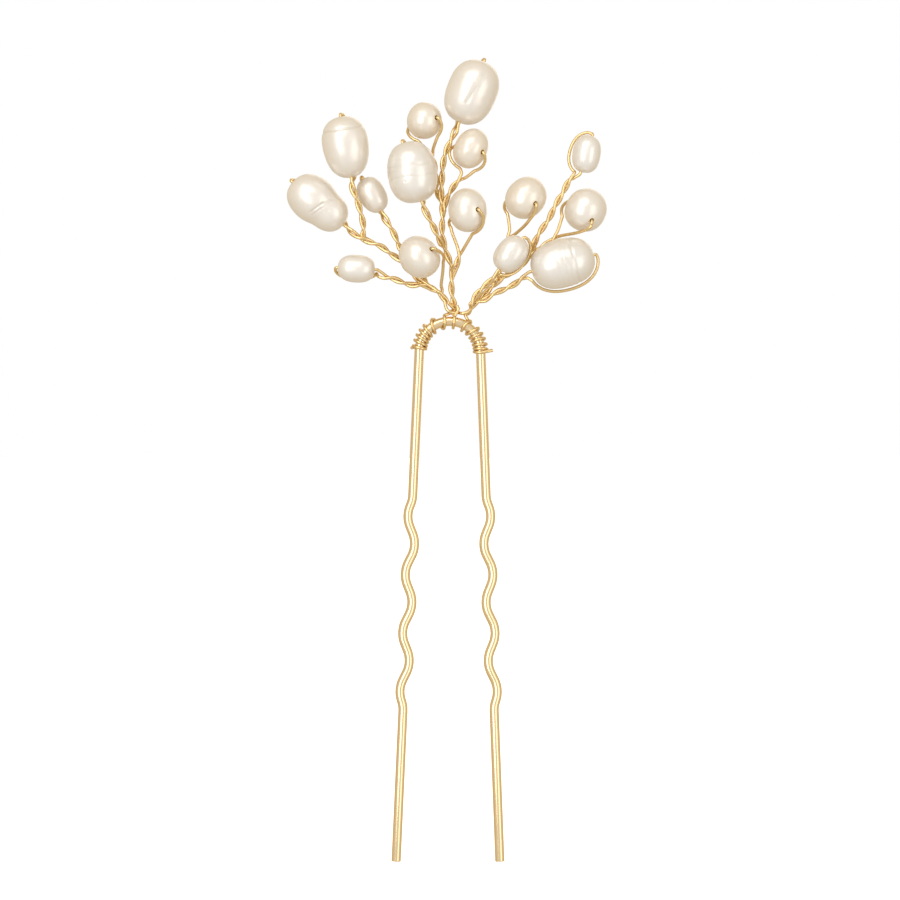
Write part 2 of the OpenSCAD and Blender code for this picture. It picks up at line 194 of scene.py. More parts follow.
# name: how it is drilled, length and width of the drilled shape (along the hole
# and across it), how the wire passes the pearl, and the middle of the stem from
# the pearl down. The wire comes back down one side of a pearl that is drilled
# along its length, and passes the places given when it goes up to and comes back
# from one that is drilled across.
STEMS = {
    "left_1": ("along", 8.4, 5.9, (0.2, 1, 0.2),
               [(-12.9, 0.5, 15.5), (-11.9, 0.4, 14.7), (-10.9, 0.3, 14.1), (-8.8, 0.3, 13.3),
                (-7.7, 0.3, 12.5), (-6.3, 0.4, 11.5), (-5.3, 0.5, 10.4), (-4.2, 0.4, 9.3),
                (-3.1, 0.2, 8.4), (-1.5, 0, 7.5), (-0.4, -0.1, 6.3), (0.3, -0.2, 5.5)]),
    "left_2": ("along", 7.8, 5.85, (0.3, 1, 0),
               [(-12.3, -0.5, 21.3), (-12.2, -0.4, 20.5), (-11.6, -0.3, 18.9),
                (-11.1, -0.2, 17.2), (-10.8, 0, 15.6), (-10.9, 0.1, 14.5)]),
    "left_3": ("along", 4.75, 3.4, (-0.3, 1, 0),
               [(-8.3, 1.2, 17.2), (-8, 1.1, 16.5), (-7.2, 1, 15.2), (-6.7, 1, 14.1),
                (-6.2, 1.1, 13), (-5.2, 1.3, 11.8), (-4, 1.2, 10.4), (-3, 0.8, 9)]),
    "left_4": ("along", 4.7, 3.55, (0, 0.8, -0.6),
               [(-9, -0.5, 9.9), (-8.2, -0.4, 9.4), (-7.2, -0.3, 9.2), (-6.2, -0.2, 8.8),
                (-4.9, -0.1, 8.4), (-3.7, 0, 8.4)]),
    "left_5": ("across", 5.2, 5.3,
               ([(-4.4, 0.2, 9.6)], [(-0.8, -2.4, 11.6), (-0.9, -1.3, 9.8)]),
               [(-1.6, -0.4, 8.2), (-1.1, -0.3, 7.6)]),
    "centre_1": ("along", 8.3, 6.4, (-0.2, 1, 0),
                 [(1, 0.2, 28.2), (0.5, 0.2, 27.3), (0, 0.2, 26.2), (-0.6, 0.2, 24.8),
                  (-0.9, 0.2, 23.2), (-1, 0.2, 21.8), (-1.1, 0.2, 19.4), (-0.9, 0.2, 17.3),
                  (-1, 0.2, 15.6), (-0.9, 0.2, 14.2), (-0.5, 0.2, 12.6), (0.1, 0.2, 11),
                  (0.3, 0.1, 10), (0.2, 0, 8.9), (0.2, 0.1, 7.7), (0.4, 0.2, 6.4),
                  (0.8, 0.1, 5.4)]),
    "centre_2": ("across", 4.5, 4.6, ([(-4.9, 1.5, 27.5)], [(-1.1, 0.2, 28.1)]),
                 [(-2.6, 1, 25.6), (-2.2, 1, 24.4), (-1.9, 1, 23), (-1.7, 1, 21.6),
                  (-1.7, 1, 20.2), (-1.1, 0.8, 19.1)]),
    "centre_3": ("across", 4.5, 5, ([(0.2, -0.7, 25)], [(4.2, -1.6, 23.5)]),
                 [(2, -0.7, 22.3), (0.7, -0.4, 21), (0.1, -0.1, 20.1), (-0.5, 0.1, 18.9),
                  (-0.7, 0.1, 17.7)]),
    "centre_4": ("along", 7.75, 6.3, (0.2, 1, 0),
                 [(-3.4, -1.6, 18.1), (-3, -1.4, 17.4), (-2.2, -1.1, 15.9), (-1.6, -0.8, 14.6),
                  (-1.1, -0.5, 13.5)]),
    "centre_5": ("across", 5, 5.4,
                 ([(-0.1, -0.6, 15.8)], [(4, -2.4, 16.6), (2.9, -1.4, 14.9)]),
                 [(1.4, -0.5, 13.3), (1.2, -0.4, 12.2), (0.8, -0.3, 10.8)]),
    "right_1": ("across", 5.3, 5.4,
                ([(14.3, 1.4, 17.8)], [(17.6, -1.4, 15.5), (16.1, -0.4, 14.9)]),
                [(14, 1, 15.1), (13.4, 1.1, 14.6), (12.5, 1.3, 13.8), (11.5, 1.4, 13.2),
                 (10.7, 1.4, 12.5), (9.9, 1.4, 11.8), (9, 1.3, 11), (7.5, 1.1, 9.9),
                 (6.3, 0.8, 9.1), (5.4, 0.5, 8.3), (4.4, 0.4, 7.3), (3.1, 0.2, 6.1),
                 (2.5, 0.1, 5.3)]),
    "right_2": ("along", 4.75, 3.6, (-1, 0.1, 0.3),
                [(16, 1.2, 22.2), (15, 1.2, 21.6), (14.5, 1.2, 20.7), (14.1, 1.2, 19.9),
                 (13.5, 1.2, 18.9), (13, 1.2, 18), (12.4, 1.2, 16.7), (11.7, 1.2, 15.7),
                 (11, 1.2, 14.6), (10.5, 1.2, 13.5)]),
    "right_3": ("across", 5.1, 5.4,
                ([(7.1, 1, 17.9)], [(10.6, -1.2, 17.5), (9.6, -0.2, 16)]),
                [(8, 0.9, 15.2), (7.3, 1, 14.3), (6.9, 1.1, 13), (6.5, 1.1, 11.4),
                 (6.2, 1.1, 10)]),
    "right_4": ("along", 5, 3.9, (1, 0.6, -0.6),
                [(5.8, -1.3, 9.8), (5.2, -1, 9), (4.2, -0.8, 8.1), (3.2, -0.6, 7),
                 (2.6, -0.5, 5.9)]),
    "right_5": ("along", 8.2, 6.2, (0, 0.1, -1),
                [(9.6, -0.5, 9.7), (9, -0.4, 9.2), (8.1, -0.3, 8.5), (7, -0.2, 7.9),
                 (5.7, -0.1, 7.4), (4.3, -0.1, 6.5)]),
}

# The loose ends of each sprig's two trunk strands at the bend
TAILS = {
    "left": ([(-0.5, -0.5, 5.4), (0, -0.6, 4.95), (0.6, -0.4, 4.9), (1, 0, 5.1)],
             [(0.5, 0.1, 5.4), (0.8, 0.4, 5.1), (0.5, 0.6, 4.8)]),
    "centre": ([(0.9, -0.3, 5.7), (1.1, -0.4, 5.3)], [(0.6, 0.4, 5.5), (0.2, 0.6, 5.1)]),
    "right": ([(2.1, -0.4, 4.9), (1.5, -0.4, 4.8), (1.1, 0, 4.9)],
              [(2.5, 0.3, 4.9), (2.1, 0.6, 4.7), (1.7, 0.6, 4.8)]),
}

# Node: first and last turn of the wrap, the angles round the bend in degrees at
# which it crosses the front, and the loose wire before and after it.
WRAPS = {
    "wrap_right": (0, 6.7, (-1.4, 6.3, 14.4, 24, 32.3, 42.6, 61.4),
                   [(5.3, -0.5, 0.2), (4.8, -0.7, 0.1)], [(1.9, 0.3, 4.6), (2.3, 0.2, 5)]),
    "wrap_crown": (-0.15, 0.7, (82.5,),
                   [(0.9, -0.2, 5.8), (1, -0.4, 5.2)], [(0.2, 0.3, 4.9), (0.1, 0.1, 5.2)]),
    "wrap_left": (-0.2, 6.75, (99, 124.8, 137.2, 145.6, 154.7, 163.2, 172.6),
                  [(0.7, 0.2, 5.1), (0.1, 0, 4.9)], [(-4.8, -0.3, 0.5)]),
}

# name: long axis (None is the hole's own), length, width and depth (None fits
# the hole), squareness, taper towards the far end, warmth from 0 to 1, grain.
BODIES = {
    "left_1": (None, 8.35, 5.75, 5.7, 2.35, 0.05, 0.25, 0.1),
    "left_2": (None, 7.75, 5.8, 5.7, 2.3, 0.06, 0.35, 0.1),
    "left_3": (None, 4.7, 3.45, 3.35, 2.3, 0.02, 0.45, 0.1),
    "left_4": (None, 4.7, 3.5, 3.5, 2.45, -0.02, 0.1, 0.1),
    "left_5": ((-0.64, 0, 0.77), 5.5, 4.9, None, 2.1, 0, 0.5, 0.2),
    "centre_1": (None, 8.25, 6.35, 6.2, 2.35, 0.02, 0.3, 0.1),
    "centre_2": ((0.2, 0, 0.98), 4.65, 4.4, None, 2.05, 0, 0.8, 0.1),
    "centre_3": ((0.47, 0, 0.88), 5.2, 4.15, None, 2.1, -0.02, 0.95, 0.2),
    "centre_4": ((-0.14, 0, 0.99), 7.7, 6.2, 6.15, 2.4, -0.02, 0.1, 0.3),
    "centre_5": ((-0.09, 0, 1), 5.55, 4.85, None, 2.1, -0.02, 0.45, 0.2),
    "right_1": ((0.5, 0, 0.87), 5.5, 5.2, None, 2.1, 0, 0.4, 1),
    "right_2": ((0.17, 0, 0.98), 4.75, 3.55, 3.5, 2.4, 0, 0, 0.1),
    "right_3": ((0.64, 0, 0.77), 5.5, 4.95, None, 2.1, 0, 0.9, 0.1),
    "right_4": (None, 4.95, 3.85, 3.8, 2.3, 0, 0.15, 0.1),
    "right_5": (None, 8.15, 6.15, 6.1, 2.35, -0.01, 0.05, 0.3),
}

# Grooves round a pearl: distance from its centre along its length, depth, width
RINGS = {
    "left_1": [(-1.3, 0.28, 1.2)],
    "left_2": [(2.2, 0.09, 0.14)],
    "centre_4": [(-0.6, 0.035, 0.16), (0.8, 0.03, 0.18)],
    "right_5": [(1.45, 0.07, 0.13), (0.7, 0.02, 0.14), (0.1, 0.018, 0.12), (-0.6, 0.015, 0.14)],
}

# Creases on the shown side: from and to (right of and above the centre), depth, width
CREASES = {
    "left_1": [((-0.9, -1.2), (0.75, 0), 0.09, 0.16), ((0.44, -0.3), (2.1, 0.5), 0.08, 0.15),
               ((-0.7, -1.6), (1.1, -0.4), 0.06, 0.14)],
    "centre_1": [((1.5, 2), (-0.6, -1.4), 0.08, 0.28), ((-1.35, 1.84), (0.7, 1.5), 0.03, 0.2)],
    "right_3": [((-0.9, -0.3), (0.9, 1.3), 0.03, 0.35)],
    "right_4": [((-0.6, -1), (0.7, 0.9), 0.02, 0.3)],
}

# Pits on the shown side: place, radius, depth
PITS = {
    "left_1": [((1.76, -1.05), 0.22, 0.07)],
    "left_5": [((-0.86, -1.3), 0.07, 0.05)],
    "centre_3": [((0.06, 0.25), 0.35, 0.06), ((-0.35, -1), 0.4, 0.05)],
    "centre_4": [((-1.05, 1.68), 0.09, 0.12), ((-0.9, -1.3), 0.08, 0.08)],
    "centre_5": [((1.4, 0.6), 0.06, 0.06)],
}


# ---- Vectors and curves ----


def vectors(points):
    return [Vector(point) for point in points]


def across(v, axis):
    """The part of v at right angles to a unit axis, as a unit vector"""
    return (v - v.dot(axis) * axis).normalized()


def smooth_curve(points, steps):
    """A smooth curve through the points, with so many steps between two of them"""
    curve = []
    for i in range(len(points) - 1):
        a, b = points[max(i - 1, 0)], points[i]
        c, d = points[i + 1], points[min(i + 2, len(points) - 1)]
        for k in range(steps):
            t = k / steps
            curve.append(
                b + t * (c - a) / 2 + t**2 * (2 * a - 5 * b + 4 * c - d) / 2
                + t**3 * (3 * b - a - 3 * c + d) / 2
            )
    return curve + [points[-1]]


def rounded(points, times):
    """The points with their corners cut off, as a stiff wire rounds them"""
    for _ in range(times):
        inner = [a.lerp(b, t) for a, b in zip(points, points[1:]) for t in (0.25, 0.75)]
        points = [points[0], *inner, points[-1]]
    return points


def evened(points, spacing):
    """The same line, with more points where they are further apart than the spacing"""
    line = [points[0]]
    for a, b in zip(points, points[1:]):
        pieces = max(1, math.ceil((b - a).length / spacing))
        line += [a.lerp(b, k / pieces) for k in range(1, pieces + 1)]
    return line


class Route:
    """The middle of a stem, found by the distance along it"""

    def __init__(self, points):
        self.points = smooth_curve(vectors(points), 6)
        self.far = [0]
        for a, b in zip(self.points, self.points[1:]):
            self.far.append(self.far[-1] + (b - a).length)
        self.end = self.far[-1]

    def place(self, s):
        s = min(max(s, 0), self.end)
        i = next((k for k in range(1, len(self.far) - 1) if self.far[k] >= s), len(self.far) - 1)
        t = (s - self.far[i - 1]) / (self.far[i] - self.far[i - 1])
        return self.points[i - 1].lerp(self.points[i], t)

    def sides(self, s):
        """Two directions across the stem: to its side and to its back"""
        heading = (self.place(s + 0.1) - self.place(s - 0.1)).normalized()
        side = heading.cross(Vector((0, 1, 0))).normalized()
        return side, side.cross(heading)


# ---- Fine wire ----

STRAND_GAP = 0.12  # between a pearl and the strand that passes outside it
TWIST_SLACK = 0.015
END_HOOK = 0.22  # radius at which the wire turns back over a pearl's end
SIDE_HOOK = 0.3  # and at which it turns out of a hole in a pearl's side
SKIN_POWER = 2.25  # squareness of the shape that the outer strands follow
EYE_WIDTH, EYE_LENGTH = 0.3, 1.4  # how the strands part under a pearl
OVER_END = math.radians(163)  # where the outer strand leaves the pearl, from its far end
OVER_STEPS = 32
HOOK_LIFT = 0.03  # from a pearl's end to where the hook begins
HOOK_CLEAR = 0.35  # from the hook to where the outer strand begins to follow the pearl
STEM_RUN = 0.3  # straight wire below a pearl that is drilled along its length
HOLE_RUN = 0.5  # how far inside the hole the wire is already straight
JOIN_REACH = (1.1, 0.5)  # how far along its trunk each strand of a side stem ends
TRUNK_SPARE = 0.2  # of the trunk, past the last place where a side stem may end
TAIL_LEAD = 0.8  # length over which a trunk strand leaves the twist for its loose end
STRAND_STEP = 0.25  # between the points of a strand
NEAREST_STEP = 0.2  # between the places tried along a stem
WIRE_STEP = 0.3  # the longest stretch between points before their corners are cut


class Stem:
    """The two strands that run through a pearl's hole and twist below it"""

    def __init__(self, name, wire):
        self.name = name
        self.drilled, self.length, self.width, self.back, points = STEMS[name]
        joint = JOINTS[name + "_turn"]
        self.centre = Vector(joint["pos_m"]) / MM
        self.bore = Vector(joint["axis"]).normalized()
        self.route = Route(points)
        self.wire_radius = wire.diameter / MM / 2
        self.half_turn = wire.half_turn / MM
        self.gap = self.wire_radius + STRAND_GAP
        self.hook_radius = END_HOOK if self.drilled == "along" else SIDE_HOOK
        self.phase = -math.pi / 6
        if self.drilled == "along":
            side, back = self.route.sides(0)
            back_way = Vector(self.back)
            self.phase = math.atan2(back_way.dot(back), back_way.dot(side))

    def strand_point(self, s, phase):
        side, back = self.route.sides(s)
        a = phase + math.pi * s / self.half_turn
        spread = self.wire_radius + TWIST_SLACK + EYE_WIDTH * max(0, 1 - s / EYE_LENGTH) ** 2
        return self.route.place(s) + spread * (math.cos(a) * side + math.sin(a) * back)

    def strand(self, phase):
        steps = math.ceil(self.route.end / STRAND_STEP)
        return [self.strand_point(self.route.end * i / steps, phase) for i in range(steps + 1)]

    def outline(self, t):
        """The outer strand's distance along the hole and out from it at angle t"""
        e = 2 / SKIN_POWER
        along = math.copysign(abs(math.cos(t)) ** e, math.cos(t))
        return (self.length / 2 + self.gap) * along, (self.width / 2 + self.gap) * math.sin(t) ** e

    def outside(self, point):
        """The point, moved out of the pearl if it is inside"""
        v = point - self.centre
        along = abs(v.dot(self.bore))
        out = (v - v.dot(self.bore) * self.bore).length
        share = (
            (along / (self.length / 2 + self.gap)) ** SKIN_POWER
            + (out / (self.width / 2 + self.gap)) ** SKIN_POWER
        ) ** (1 / SKIN_POWER)
        return self.centre + v / min(1, share)

    def hook(self, end, side):
        """Out of the hole in direction end, and over towards side"""
        over = across(side, end)
        return [
            self.centre + end * (self.length / 2 + HOOK_LIFT + self.hook_radius * math.sin(a))
            + over * self.hook_radius * (1 - math.cos(a))
            for a in (i * math.pi / 8 for i in range(5))
        ]

    def inside(self, end):
        """A point in the hole, on the way to the mouth in direction end"""
        return self.centre + end * (self.length / 2 - HOLE_RUN)

    def entry(self, tops):
        """From the top of the stem into the hole"""
        if self.drilled == "along":
            below = self.centre - self.bore * (self.length / 2 + STEM_RUN)
            return [below, self.inside(-self.bore)]
        places = vectors(self.back[0])
        side = places[-1] - self.centre
        turned = self.hook(-self.bore, side)[::-1]
        way = rounded([*tops, *places, turned[0]], 3)
        return [*map(self.outside, way), *turned[1:], self.inside(-self.bore)]

    def exit(self, tops):
        """From the far hole back to the top of the stem"""
        out_of_hole = self.inside(self.bore)
        if self.drilled == "along":
            side = across(Vector(self.back), self.bore)
            first = math.asin(
                ((END_HOOK + HOOK_CLEAR) / (self.width / 2 + self.gap)) ** (SKIN_POWER / 2)
            )
            over = []
            for i in range(OVER_STEPS + 1):
                along, out = self.outline(first + (OVER_END - first) * i / OVER_STEPS)
                over.append(self.centre + along * self.bore + out * side)
            return [out_of_hole, *self.hook(self.bore, side), *over]
        places = vectors(self.back[1])
        turned = self.hook(self.bore, places[0] - self.centre)
        way = rounded([turned[-1], *places, *tops], 3)
        return [out_of_hole, *turned[:-1], *map(self.outside, way)]

    def nearest(self, point):
        """The distance along the stem that is nearest to the point"""
        steps = [NEAREST_STEP * i for i in range(int(self.route.end / NEAREST_STEP) + 1)]
        return min(steps, key=lambda s: (self.route.place(s) - point).length)

    def led_on(self, strand, k, trunk):
        """A strand, led on below its stem: into its trunk or to a loose end"""
        if trunk is self:
            tail = vectors(TAILS[self.name.split("_")[0]][k])
            kept = int((self.nearest(tail[0]) - TAIL_LEAD) / self.route.end * len(strand))
            return [*strand[:kept], *rounded([strand[kept], *tail], 2)]
        s = trunk.nearest(self.route.points[-1]) + JOIN_REACH[k]
        s = min(trunk.route.end - TRUNK_SPARE, s)
        return [*strand, trunk.strand_point(s, trunk.phase + math.pi * k)]

    def wires(self, trunk):
        """The one wire that goes up the stem, through the pearl and back down"""
        going = self.led_on(self.strand(self.phase + math.pi), 0, trunk)
        coming = self.led_on(self.strand(self.phase), 1, trunk)
        if self.drilled == "along":
            return [*going[:2:-1], *self.entry([]), *self.exit([]), *coming[1:]]
        up = [*going[:3:-1], *self.entry([going[3], going[1]])]
        return [*up, *self.exit([coming[1], coming[3]]), *coming[4:]]


WRAP_GAP = 0.02  # between the pin and the wire wound on it
WRAP_STEPS = 24  # in one turn


def wrap_line(wrap, pin, wire):
    """The middle of a wrap of fine wire round the bend"""
    first, last, fronts, before, after = wrap
    bend = pin.bend_radius / MM
    reach = (pin.diameter + wire.diameter) / MM / 2 + WRAP_GAP
    steps = math.ceil((last - first) * WRAP_STEPS)
    run = []
    for i in range(steps + 1):
        turns = first + (last - first) * i / steps
        k = min(max(int(turns), 0), max(len(fronts) - 2, 0))
        share = min(max(turns - k, 0), 1)
        onward = fronts[min(k + 1, len(fronts) - 1)]
        angle = math.radians(fronts[k] + share * (onward - fronts[k]))
        a = math.pi / 2 + 2 * math.pi * turns
        r = bend + reach * math.cos(a)
        run.append(Vector((r * math.cos(angle), -reach * math.sin(a), r * math.sin(angle))))
    return vectors(before) + run + vectors(after)


# ---- Making pieces ----


def linear(hex_colour):
    """An sRGB hex colour as the linear colour that a shader takes"""
    parts = [int(hex_colour[i : i + 2], 16) / 255 for i in (1, 3, 5)]
    return (*[c / 12.92 if c <= 0.04045 else ((c + 0.055) / 1.055) ** 2.4 for c in parts], 1)


def add_node(tree, kind, inputs=None, **settings):
    """Adds a node. Each input is a value, or the output that feeds it."""
    node = tree.nodes.new(kind)
    for name, value in settings.items():
        setattr(node, name, value)
    for key, value in (inputs or {}).items():
        if isinstance(value, bpy.types.NodeSocket):
            tree.links.new(value, node.inputs[key])
        else:
            node.inputs[key].default_value = value
    return node


SHARP = math.radians(50)  # edges that turn more than this stay crisp


def finish_piece(context, name, mesh, material, body, node):
    """Puts a finished mesh, in millimetres, in the scene in place of its CAD node"""
    mesh.transform(Matrix.Scale(MM, 4))
    mesh.materials.clear()
    mesh.materials.append(material)
    mesh.shade_smooth()
    mesh.set_sharp_from_angle(angle=SHARP)
    piece = bpy.data.objects.new(name, mesh)
    context.scene.collection.objects.link(piece)
    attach(piece, body)
    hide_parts(node)
    return piece


def wire_mesh(context, name, lines, radius):
    """Round wire along each line, with cut ends"""
    curve = bpy.data.curves.new(name, "CURVE")
    curve.dimensions = "3D"
    curve.bevel_depth = radius
    curve.bevel_resolution = 4
    curve.use_fill_caps = True
    for line in lines:
        points = rounded(evened(line, WIRE_STEP), 2)
        spline = curve.splines.new("POLY")
        spline.points.add(len(points) - 1)
        for target, point in zip(spline.points, points):
            target.co = (*point, 1)
    shape = bpy.data.objects.new(name, curve)
    context.scene.collection.objects.link(shape)
    depsgraph = context.evaluated_depsgraph_get()
    mesh = bpy.data.meshes.new_from_object(shape.evaluated_get(depsgraph))
    bpy.data.objects.remove(shape)
    bpy.data.curves.remove(curve)
    mesh.name = name
    return mesh


# ---- Materials ----


def gold_wire(name, colour, roughness, marked):
    """Brass wire, drawn through a die, polished and plated pale gold: bright
    lines run along it, and its shine is slightly uneven where it is handled.
    Thick wire is marked with faint draw lines."""
    material = bpy.data.materials.new(name)
    material.use_nodes = True
    tree = material.node_tree
    shader = tree.nodes["Principled BSDF"]
    place = add_node(tree, "ShaderNodeTexCoord").outputs["Object"]
    # Patches of handling wear about 2.5 mm across.
    wear = add_node(tree, "ShaderNodeTexNoise", {
        "Vector": place, "Scale": 1 / (2.5 * MM), "Detail": 1.0})
    shine = add_node(tree, "ShaderNodeMapRange", {
        "Value": wear.outputs["Fac"], "From Min": 0.3, "From Max": 0.7,
        "To Min": roughness * 0.85, "To Max": roughness * 1.3})
    shader.inputs["Base Color"].default_value = linear(colour)
    tree.links.new(shine.outputs["Result"], shader.inputs["Roughness"])
    if marked:
        # Draw lines 15 mm long. Real ones are finer than the 0.5 mm between these,
        # which is as fine as shows.
        apart, long = 0.5 * MM, 15 * MM
        drawn = add_node(tree, "ShaderNodeMapping", {
            "Vector": place, "Scale": (1 / apart, 1 / apart, 1 / long)})
        lines = add_node(tree, "ShaderNodeTexNoise", {
            "Vector": drawn.outputs[0], "Scale": 1.0, "Detail": 0.0})
        relief = add_node(tree, "ShaderNodeBump", {
            "Height": lines.outputs["Fac"], "Strength": 0.03, "Distance": 0.02 * MM})
        tree.links.new(relief.outputs["Normal"], shader.inputs["Normal"])
    shader.inputs["Metallic"].default_value = 1.0
    return material


def nacre(settings):
    """Freshwater pearl nacre, as grown and tumbled: a milky cream body that is
    partly mirror, so soft lights show in it as a satin glow, with faint colour
    patches, painted shade that greys its creases, and a painted warm reflection
    of the gold wire round its holes."""
    material = bpy.data.materials.new("Freshwater nacre")
    material.use_nodes = True
    tree = material.node_tree
    shader = tree.nodes["Principled BSDF"]
    place = add_node(tree, "ShaderNodeTexCoord").outputs["Object"]

    def mixed(factor, a, b):
        return add_node(tree, "ShaderNodeMix", {"Factor": factor, "A": a, "B": b},
                        data_type="RGBA").outputs["Result"]

    def mark(name):
        return add_node(tree, "ShaderNodeAttribute", attribute_name=name).outputs["Fac"]

    # Overtone patches, rosy and greenish, about 2 mm across.
    patches = add_node(tree, "ShaderNodeTexNoise", {
        "Vector": place, "Scale": 1 / (2.0 * MM), "Detail": 2.0})
    body = mixed(mark("warmth"), linear(settings.white), linear(settings.cream))
    rosy = mixed(patches.outputs["Fac"], linear("#EFE2D8"), linear("#E7E5D9"))
    body = mixed(0.35, body, rosy)
    # Painted shade: creases, narrow grooves and small pits are mixed toward grey, more where they
    # are deeper.
    body = mixed(mark("crease_shade"), body, linear("#D8D0C0"))
    # Painted reflection: the hole walls and a halo round each mouth take a pale warm gold,
    # standing in for the light the gold wire throws there.
    body = mixed(mark("hole_gold_reflection"), body, linear("#F8E3B8"))
    tree.links.new(body, shader.inputs["Base Color"])
    # Sugary grain of aragonite plates, drawn 0.2 mm across so that it shows.
    grain = add_node(tree, "ShaderNodeTexNoise", {
        "Vector": place, "Scale": 1 / (0.2 * MM), "Detail": 2.0})
    # Soft unevenness of the skin, about 1 mm across.
    skin = add_node(tree, "ShaderNodeTexNoise", {
        "Vector": place, "Scale": 1 / (1.0 * MM), "Detail": 1.0})
    grainy = add_node(tree, "ShaderNodeMath", {0: grain.outputs["Fac"], 1: mark("grain")},
                      operation="MULTIPLY")
    uneven = add_node(tree, "ShaderNodeBump", {
        "Height": skin.outputs["Fac"], "Strength": 0.25, "Distance": 0.04 * MM})
    relief = add_node(tree, "ShaderNodeBump", {
        "Height": grainy.outputs[0], "Strength": 0.6, "Distance": 0.03 * MM,
        "Normal": uneven.outputs["Normal"]})
    tree.links.new(relief.outputs["Normal"], shader.inputs["Normal"])
    shine = add_node(tree, "ShaderNodeMapRange", {
        "Value": skin.outputs["Fac"], "From Min": 0.3, "From Max": 0.7,
        "To Min": 0.3, "To Max": 0.36})
    tree.links.new(shine.outputs["Result"], shader.inputs["Roughness"])
    for socket, value in {
        "Metallic": 0.4, "IOR": 1.56, "Coat Weight": 0.35, "Coat Roughness": 0.2,
    }.items():
        shader.inputs[socket].default_value = value
    return material


# ---- The pin ----


PIN_SIDES = 40
PIN_STEP = math.radians(4)  # of one ring in a bend
TIP_ROUND = 0.12  # how far the rim of a cut tip is rounded
SHORT_FLAT = 0.2  # straight stretch beside the first and last bend of the waves


def pin_steps(pin):
    """The straights and bends of the pin in order, from the left tip to the
    right: a length in millimetres and a turn in radians, one of them None"""
    radius, flat = pin.wave_radius / MM, pin.wave_flat / MM
    turn, count = pin.wave_turn, pin.wave_count
    height = radius * (1 - math.cos(turn)) + flat * math.sin(turn) / 2
    entry = math.acos(1 - (height - SHORT_FLAT * math.sin(turn)) / (2 * radius))
    turns = [entry, -entry - turn]
    turns += [(2 if i % 2 else -2) * turn for i in range(1, 2 * count - 2)]
    turns += [-turn - entry, entry]
    waves = [(None, -turns[0])]
    for i, bend in enumerate(turns[1:], 1):
        waves.append((SHORT_FLAT if i in (1, len(turns) - 1) else flat, None))
        waves.append((None, -bend))
    wave_length = (
        4 * radius * math.sin(entry) + 2 * SHORT_FLAT * math.cos(entry)
        + (2 * count - 2) * (2 * radius * math.sin(turn) + flat * math.cos(turn))
    )
    drop, start, bend = pin.leg_drop / MM, pin.wave_start / MM, pin.bend_radius / MM

    def leg(lean):
        straight = (start + bend * math.sin(lean)) / math.cos(lean)
        return straight, (drop - start) / math.cos(lean) - wave_length

    left_straight, left_tail = leg(pin.left_lean)
    right_straight, right_tail = leg(pin.right_lean)
    steps = [(left_tail, None), *waves, (left_straight, None),
             (None, math.pi - pin.left_lean - pin.right_lean),
             (right_straight, None), *waves, (right_tail, None)]
    length = left_straight + wave_length + left_tail
    lean = pin.left_lean
    tip = Vector((-bend * math.cos(lean) - length * math.sin(lean), 0,
                  bend * math.sin(lean) - length * math.cos(lean)))
    return steps, tip


class HAIRPIN_OT_pin(bpy.types.Operator):
    """Bend the pin from one length of thick wire"""

    bl_idname = "hairpin.pin"
    bl_label = "Bend the pin"

    def execute(self, context):
        pin = context.scene.hairpin_pin
        steps, place = pin_steps(pin)
        angle = pin.left_lean
        bm = bmesh.new()
        bmesh.ops.create_circle(
            bm, cap_ends=True, segments=PIN_SIDES, radius=pin.diameter / MM / 2,
            matrix=Matrix.Translation(place) @ Matrix.Rotation(angle, 4, "Y"),
        )
        ring = list(bm.edges)
        for length, turn in steps:
            heading = Vector((math.sin(angle), 0, math.cos(angle)))
            if length:
                made = bmesh.ops.extrude_edge_only(bm, edges=ring)["geom"]
                bmesh.ops.translate(
                    bm, vec=heading * length,
                    verts=[g for g in made if isinstance(g, bmesh.types.BMVert)],
                )
                place = place + heading * length
            else:
                big = abs(turn) > math.pi / 2
                radius = (pin.bend_radius if big else pin.wave_radius) / MM
                side = Vector((math.cos(angle), 0, -math.sin(angle))) * math.copysign(1, turn)
                centre = place + side * radius
                made = bmesh.ops.spin(
                    bm, geom=ring, cent=centre, axis=(0, 1, 0), dvec=(0, 0, 0), angle=turn,
                    steps=math.ceil(abs(turn) / PIN_STEP), use_merge=False,
                )["geom_last"]
                place = centre + Matrix.Rotation(turn, 3, "Y") @ (place - centre)
                angle += turn
            ring = [g for g in made if isinstance(g, bmesh.types.BMEdge)]
        bmesh.ops.contextual_create(bm, geom=ring)
        bmesh.ops.recalc_face_normals(bm, faces=bm.faces)
        rims = [e for e in bm.edges if len(e.link_faces) == 2 and e.calc_face_angle() > SHARP]
        bmesh.ops.bevel(
            bm, geom=rims, offset=TIP_ROUND, offset_type="OFFSET", affect="EDGES", segments=3,
            profile=0.5, material=-1,
        )
        mesh = bpy.data.meshes.new("pin_wire")
        bm.to_mesh(mesh)
        bm.free()
        colour = context.scene.hairpin_wire.thick_gold
        gold = gold_wire("Gold-plated drawn brass", colour, 0.17, True)
        finish_piece(context, "pin_wire", mesh, gold, "root", "pin")
        return {"FINISHED"}


# ---- The fine wire ----


def fine_gold(context):
    name = "Gold-plated craft wire"
    made = bpy.data.materials.get(name)
    return made or gold_wire(name, context.scene.hairpin_wire.fine_gold, 0.25, False)


class HAIRPIN_OT_wraps(bpy.types.Operator):
    """Wrap fine wire round the bend to hold the sprigs"""

    bl_idname = "hairpin.wraps"
    bl_label = "Wrap the bend"

    def execute(self, context):
        pin, wire = context.scene.hairpin_pin, context.scene.hairpin_wire
        for node, wrap in WRAPS.items():
            name = node + "_wire"
            mesh = wire_mesh(context, name, [wrap_line(wrap, pin, wire)], wire.diameter / MM / 2)
            finish_piece(context, name, mesh, fine_gold(context), "root", node)
        return {"FINISHED"}


